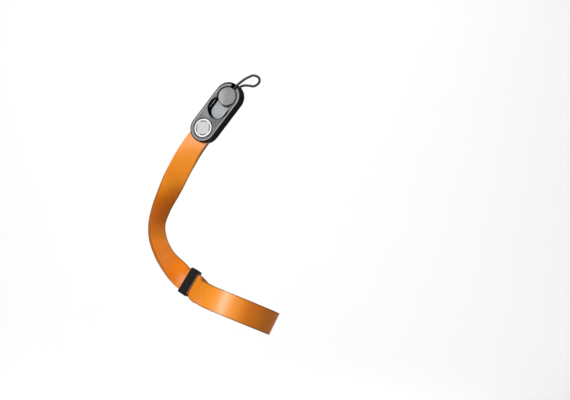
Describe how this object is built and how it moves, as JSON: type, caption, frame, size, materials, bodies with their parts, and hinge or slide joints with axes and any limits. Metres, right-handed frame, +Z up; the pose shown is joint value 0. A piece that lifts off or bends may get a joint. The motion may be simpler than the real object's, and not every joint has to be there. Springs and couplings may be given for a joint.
{
  "type": "camera wrist strap",
  "caption": "Leather camera wrist strap: a wrist loop closed by a black keeper, a doubled lead, and a grey coupling housing with a rivet, a release button and a disc on a short cord.",
  "frame": {"origin": "centre of the wrist loop, where the wrist passes through it", "axes": "+Z up as worn, -Y towards the viewer of the picture, +X to the viewer's right"},
  "size_m": [0.0906, 0.0659, 0.1746],
  "materials": {
    "tan_leather": "semi-gloss tan leather with burnished edges",
    "keeper_black": "satin black",
    "base_black": "satin black",
    "cover_grey": "satin mid grey",
    "rivet_silver": "bright satin",
    "disc_grey": "satin mid grey",
    "button_pale": "satin light grey",
    "cord_black": "matte black cord"
  },
  "bodies": {
    "strap": {"strap": "tan_leather", "keeper": "keeper_black", "housing_base": "base_black", "housing_cover": "cover_grey", "rivet_cap": "rivet_silver", "anchor_disc": "disc_grey", "anchor_cord": "cord_black"},
    "button": {"release_button": "button_pale"}
  },
  "joints": [
    {"name": "button_press", "type": "slide", "parent": "strap", "child": "button", "axis": [0.3435, 0.9285, -0.1413], "range_m": [0, 0.001], "stiffness_N_per_m": 1000}
  ]
}
